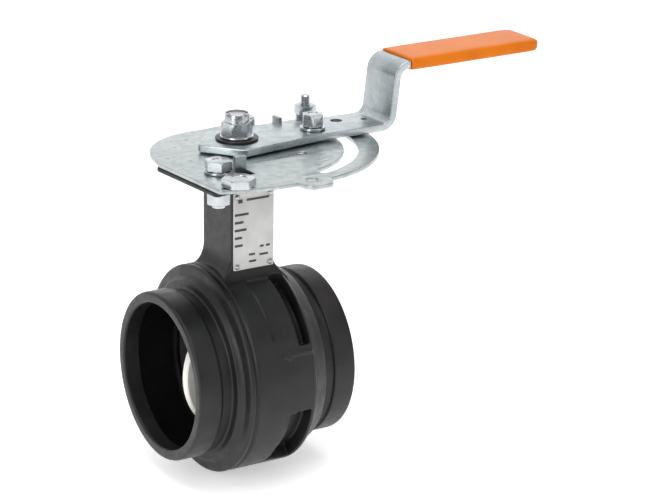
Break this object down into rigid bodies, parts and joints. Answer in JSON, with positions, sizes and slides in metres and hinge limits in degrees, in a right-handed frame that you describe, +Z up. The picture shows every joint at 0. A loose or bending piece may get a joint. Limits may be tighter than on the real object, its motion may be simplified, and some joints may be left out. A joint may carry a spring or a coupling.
{
  "type": "butterfly valve",
  "caption": "Grooved-end butterfly valve with a lever, an orange vinyl grip, a slotted throttle plate and an adjustable stop",
  "frame": {"origin": "where the pipe axis crosses the stem axis, in the middle of the bore", "axes": "+X along the pipe and along the lever, +Z up the stem, -Y towards the nameplate. The valve stands open"},
  "size_m": [0.2945, 0.1693, 0.2707],
  "materials": {
    "black_coat": "black coating over cast iron, satin, slightly uneven",
    "zinc_plate": "zinc plated steel, pale bluish grey, soft sheen",
    "stainless_steel": "ground stainless steel",
    "nickel_plate": "nickel plated iron, satin",
    "printed_metal": "thin silver-white plate, matte",
    "brass": "machined brass",
    "rubber": "black elastomer, matte",
    "bearing_plastic": "glass filled bearing sleeve, matte",
    "orange_vinyl": "dipped vinyl, orange, glossy",
    "white_nylon": "nylon locking ring"
  },
  "bodies": {
    "valve_body": {"body_casting": "black_coat", "seat_ring": "rubber", "upper_bearing": "bearing_plastic", "lower_bearing": "bearing_plastic", "seal_cartridge": "brass", "cartridge_o_ring": "rubber", "stem_o_ring": "rubber", "retaining_ring": "stainless_steel", "bottom_plug": "zinc_plate", "nameplate": "printed_metal", "nameplate_pin_lower_left": "stainless_steel", "nameplate_pin_lower_right": "stainless_steel", "nameplate_pin_upper_left": "stainless_steel", "nameplate_pin_upper_right": "stainless_steel", "throttle_plate": "zinc_plate", "front_plate_bolt": "zinc_plate", "front_bolt_washer": "zinc_plate", "front_bolt_nut": "zinc_plate", "back_plate_bolt": "zinc_plate", "back_bolt_washer": "zinc_plate", "back_bolt_nut": "zinc_plate", "corner_screw": "zinc_plate", "stop_bolt": "zinc_plate", "stop_washer": "zinc_plate", "stop_lower_nut": "zinc_plate", "stop_upper_nut": "zinc_plate"},
    "stem_and_handle": {"lever": "zinc_plate", "grip": "orange_vinyl", "hub_washer": "black_coat", "hub_nut": "zinc_plate", "hub_nut_insert": "white_nylon", "lock_screw": "zinc_plate", "lock_screw_washer": "zinc_plate", "upper_stem": "stainless_steel", "lower_stem": "stainless_steel", "disc": "nickel_plate", "disc_pin_upper": "stainless_steel", "disc_pin_lower": "stainless_steel"}
  },
  "joints": [
    {"name": "handle_turn", "type": "hinge", "parent": "valve_body", "child": "stem_and_handle", "pos_m": [0, 0, 0], "axis": [0, 0, 1], "range_deg": [-90, 0]}
  ]
}
